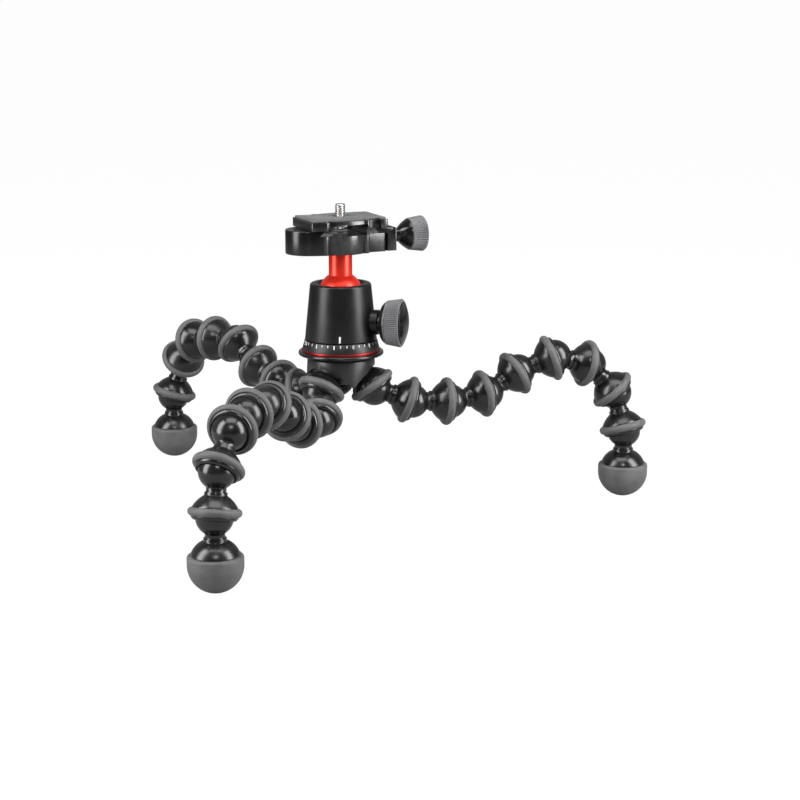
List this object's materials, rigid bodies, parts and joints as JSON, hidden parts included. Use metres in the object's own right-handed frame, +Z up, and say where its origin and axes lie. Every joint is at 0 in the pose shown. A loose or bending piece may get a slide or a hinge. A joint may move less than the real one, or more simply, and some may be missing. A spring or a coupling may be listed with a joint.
{
  "type": "flexible leg tripod",
  "caption": "Small camera support with three bendable legs of ball-jointed links, rubber feet, a panning ball head and a quick release clamp with a camera screw.",
  "frame": {"origin": "the point of the floor under the middle of the whole part, with the legs bent as in the picture", "axes": "+Z up along the camera screw, +X to the right in the picture, +Y away from the camera"},
  "size_m": [0.3258, 0.3346, 0.1891],
  "materials": {
    "link_plastic": "glossy black moulded polymer; each link also holds its grey rubber ring and black liner",
    "hub_plastic": "satin black moulded polymer",
    "liner_plastic": "matt black low-friction polymer",
    "grey_rubber": "matt dark grey rubber",
    "black_metal": "satin black anodised aluminium",
    "red_metal": "bright red anodised aluminium",
    "bright_steel": "bright turned steel",
    "cup_metal": "plain turned aluminium"
  },
  "bodies": {
    "stand": {"hub_core": "hub_plastic", "hub_cover": "hub_plastic", "hub_liners": "liner_plastic", "hub_rings": "grey_rubber", "hub_pad": "grey_rubber", "head_bolt": "bright_steel", "pan_base": "black_metal", "accent_ring": "red_metal", "scale_ring": "black_metal", "pan_washer": "liner_plastic", "pan_retainer": "bright_steel"},
    "head": {"head_housing": "black_metal", "upper_seat": "liner_plastic"},
    "cup": {"ball_cup": "cup_metal"},
    "wedge": {"lock_wedge": "bright_steel"},
    "lock": {"lock_screw": "bright_steel", "lock_knob": "black_metal", "lock_grip": "grey_rubber", "lock_cap": "black_metal"},
    "ball": {"ball_stem": "red_metal"},
    "platform": {"clamp_base": "black_metal", "clamp_bolt": "bright_steel"},
    "jaw": {"clamp_jaw": "black_metal", "guide_pins": "bright_steel"},
    "jaw_knob": {"clamp_screw": "bright_steel", "clamp_knob": "black_metal", "clamp_grip": "grey_rubber"},
    "plate": {"quick_plate": "black_metal", "plate_pad": "grey_rubber"},
    "screw": {"camera_screw": "bright_steel", "screw_bail": "bright_steel"},
    "right_1": {"right_link_1": "link_plastic"},
    "right_2": {"right_link_2": "link_plastic"},
    "right_3": {"right_link_3": "link_plastic"},
    "right_4": {"right_link_4": "link_plastic"},
    "right_5": {"right_link_5": "link_plastic"},
    "right_6": {"right_link_6": "link_plastic"},
    "right_7": {"right_link_7": "link_plastic"},
    "right_8": {"right_link_8": "link_plastic"},
    "right_end": {"right_foot": "link_plastic"},
    "rear_1": {"rear_link_1": "link_plastic"},
    "rear_2": {"rear_link_2": "link_plastic"},
    "rear_3": {"rear_link_3": "link_plastic"},
    "rear_4": {"rear_link_4": "link_plastic"},
    "rear_5": {"rear_link_5": "link_plastic"},
    "rear_6": {"rear_link_6": "link_plastic"},
    "rear_7": {"rear_link_7": "link_plastic"},
    "rear_8": {"rear_link_8": "link_plastic"},
    "rear_end": {"rear_foot": "link_plastic"},
    "front_1": {"front_link_1": "link_plastic"},
    "front_2": {"front_link_2": "link_plastic"},
    "front_3": {"front_link_3": "link_plastic"},
    "front_4": {"front_link_4": "link_plastic"},
    "front_5": {"front_link_5": "link_plastic"},
    "front_6": {"front_link_6": "link_plastic"},
    "front_7": {"front_link_7": "link_plastic"},
    "front_8": {"front_link_8": "link_plastic"},
    "front_end": {"front_foot": "link_plastic"}
  },
  "joints": [
    {"name": "pan_turn", "type": "hinge", "parent": "stand", "child": "head", "pos_m": [-0.02937, 0.01636, 0.107], "axis": [0, 0, 1], "continuous": true},
    {"name": "lock_wedge_slide", "type": "slide", "parent": "head", "child": "wedge", "axis": [-0.9781, 0.2079, 0], "range_m": [0, 0.0005]},
    {"name": "lock_knob_turn", "type": "hinge", "parent": "wedge", "child": "lock", "pos_m": [-0.02937, 0.01636, 0.11783], "axis": [-0.9781, 0.2079, 0], "range_deg": [0, 180]},
    {"name": "ball_heading", "type": "hinge", "parent": "head", "child": "cup", "pos_m": [-0.02937, 0.01636, 0.1346], "axis": [0, 0, 1], "continuous": true},
    {"name": "ball_tilt", "type": "hinge", "parent": "cup", "child": "ball", "pos_m": [-0.02937, 0.01636, 0.1346], "axis": [0.9135, 0.4067, 0], "range_deg": [-32, 32]},
    {"name": "ball_spin", "type": "hinge", "parent": "ball", "child": "platform", "pos_m": [-0.02937, 0.01636, 0.1605], "axis": [0, 0, 1], "continuous": true},
    {"name": "jaw_slide", "type": "slide", "parent": "platform", "child": "jaw", "axis": [0.9135, 0.4067, 0], "range_m": [0, 0.0025]},
    {"name": "clamp_knob_turn", "type": "hinge", "parent": "jaw", "child": "jaw_knob", "pos_m": [-0.02937, 0.01636, 0.1684], "axis": [0.9135, 0.4067, 0], "range_deg": [0, 720]},
    {"name": "plate_slide", "type": "slide", "parent": "platform", "child": "plate", "axis": [-0.4067, 0.9135, 0], "range_m": [-0.005, 0.005]},
    {"name": "camera_screw_turn", "type": "hinge", "parent": "plate", "child": "screw", "pos_m": [-0.02937, 0.01636, 0.1818], "axis": [0, 0, 1], "continuous": true},
    {"name": "right_bend_1", "type": "hinge", "parent": "stand", "child": "right_1", "pos_m": [-0.00914, 0.0137, 0.0766], "axis": [0.1818, -0.958, 0.2218], "range_deg": [-81, 10]},
    {"name": "right_bend_2", "type": "hinge", "parent": "right_1", "child": "right_2", "pos_m": [0.01385, 0.01611, 0.0682], "axis": [0.2713, -0.8182, 0.5069], "range_deg": [-64, 27]},
    {"name": "right_bend_3", "type": "hinge", "parent": "right_2", "child": "right_3", "pos_m": [0.03744, 0.02288, 0.06649], "axis": [-0.2801, 0.8803, -0.3829], "range_deg": [-33, 58]},
    {"name": "right_bend_4", "type": "hinge", "parent": "right_3", "child": "right_4", "pos_m": [0.06018, 0.03161, 0.06992], "axis": [0.346, -0.9345, 0.084], "range_deg": [-67, 24]},
    {"name": "right_bend_5", "type": "hinge", "parent": "right_4", "child": "right_5", "pos_m": [0.07999, 0.04001, 0.08185], "axis": [0.1477, 0.6765, -0.7215], "range_deg": [-60, 31]},
    {"name": "right_bend_6", "type": "hinge", "parent": "right_5", "child": "right_6", "pos_m": [0.10275, 0.04403, 0.09028], "axis": [-0.2543, 0.9366, 0.241], "range_deg": [-82, 9]},
    {"name": "right_bend_7", "type": "hinge", "parent": "right_6", "child": "right_7", "pos_m": [0.12522, 0.05176, 0.08392], "axis": [-0.3885, 0.8631, -0.3227], "range_deg": [-81, 10]},
    {"name": "right_bend_8", "type": "hinge", "parent": "right_7", "child": "right_8", "pos_m": [0.14167, 0.05234, 0.06564], "axis": [-0.2677, 0.94, -0.2115], "range_deg": [-76, 15]},
    {"name": "right_bend_9", "type": "hinge", "parent": "right_8", "child": "right_end", "pos_m": [0.14737, 0.04864, 0.042], "axis": [0.5446, 0.8387, 0], "range_deg": [-62, 29]},
    {"name": "rear_bend_1", "type": "hinge", "parent": "stand", "child": "rear_1", "pos_m": [-0.03717, 0.03521, 0.0766], "axis": [-0.1981, -0.8384, -0.5077], "range_deg": [-1, 90]},
    {"name": "rear_bend_2", "type": "hinge", "parent": "rear_1", "child": "rear_2", "pos_m": [-0.05751, 0.04557, 0.06742], "axis": [-0.5492, -0.4604, 0.6974], "range_deg": [-6, 85]},
    {"name": "rear_bend_3", "type": "hinge", "parent": "rear_2", "child": "rear_3", "pos_m": [-0.07119, 0.06585, 0.07004], "axis": [-0.7624, -0.4549, -0.4602], "range_deg": [-33, 58]},
    {"name": "rear_bend_4", "type": "hinge", "parent": "rear_3", "child": "rear_4", "pos_m": [-0.0863, 0.08386, 0.07727], "axis": [-0.7502, -0.6575, 0.0699], "range_deg": [-33, 58]},
    {"name": "rear_bend_5", "type": "hinge", "parent": "rear_4", "child": "rear_5", "pos_m": [-0.09983, 0.10057, 0.08923], "axis": [0.717, 0.6824, -0.1421], "range_deg": [-13, 78]},
    {"name": "rear_bend_6", "type": "hinge", "parent": "rear_5", "child": "rear_6", "pos_m": [-0.11689, 0.11824, 0.08799], "axis": [-0.7193, -0.6947, 0], "range_deg": [-55, 35]},
    {"name": "rear_bend_7", "type": "hinge", "parent": "rear_6", "child": "rear_7", "pos_m": [-0.13199, 0.13687, 0.0825], "axis": [0.7264, 0.6522, 0.2169], "range_deg": [-15, 76]},
    {"name": "rear_bend_8", "type": "hinge", "parent": "rear_7", "child": "rear_8", "pos_m": [-0.141, 0.15248, 0.06575], "axis": [0.9304, 0.2614, -0.257], "range_deg": [-3, 88]},
    {"name": "rear_bend_9", "type": "hinge", "parent": "rear_8", "child": "rear_end", "pos_m": [-0.14737, 0.15181, 0.042], "axis": [-0.1045, 0.9945, 0], "range_deg": [-30, 61]},
    {"name": "front_bend_1", "type": "hinge", "parent": "stand", "child": "front_1", "pos_m": [-0.04178, 0.00018, 0.0766], "axis": [-0.8117, -0.273, 0.5164], "range_deg": [-82, 9]},
    {"name": "front_bend_2", "type": "hinge", "parent": "front_1", "child": "front_2", "pos_m": [-0.04216, -0.02132, 0.06464], "axis": [-0.7858, 0.3111, -0.5346], "range_deg": [-89, 2]},
    {"name": "front_bend_3", "type": "hinge", "parent": "front_2", "child": "front_3", "pos_m": [-0.05287, -0.04327, 0.06761], "axis": [-0.7658, 0.4372, 0.4716], "range_deg": [-65, 26]},
    {"name": "front_bend_4", "type": "hinge", "parent": "front_3", "child": "front_4", "pos_m": [-0.05906, -0.06488, 0.07758], "axis": [-0.9613, 0.2756, 0], "range_deg": [-47, 42]},
    {"name": "front_bend_5", "type": "hinge", "parent": "front_4", "child": "front_5", "pos_m": [-0.06876, -0.08477, 0.08834], "axis": [0.9188, -0.3561, 0.1701], "range_deg": [-73, 18]},
    {"name": "front_bend_6", "type": "hinge", "parent": "front_5", "child": "front_6", "pos_m": [-0.07758, -0.10773, 0.08787], "axis": [-0.9336, 0.3584, 0], "range_deg": [-37, 53]},
    {"name": "front_bend_7", "type": "hinge", "parent": "front_6", "child": "front_7", "pos_m": [-0.08468, -0.13096, 0.08399], "axis": [0.9563, -0.2766, -0.0947], "range_deg": [-84, 7]},
    {"name": "front_bend_8", "type": "hinge", "parent": "front_7", "child": "front_8", "pos_m": [-0.09095, -0.1465, 0.06598], "axis": [0.9109, -0.4109, 0.037], "range_deg": [-76, 15]},
    {"name": "front_bend_9", "type": "hinge", "parent": "front_8", "child": "front_end", "pos_m": [-0.09238, -0.15181, 0.042], "axis": [0.9659, -0.2588, 0], "range_deg": [-58, 33]}
  ],
  "couplings": [
    {"joint": "lock_knob_turn", "follows": "lock_wedge_slide", "rad_per_m": 6283.2},
    {"joint": "clamp_knob_turn", "follows": "jaw_slide", "rad_per_m": 5026.5}
  ]
}
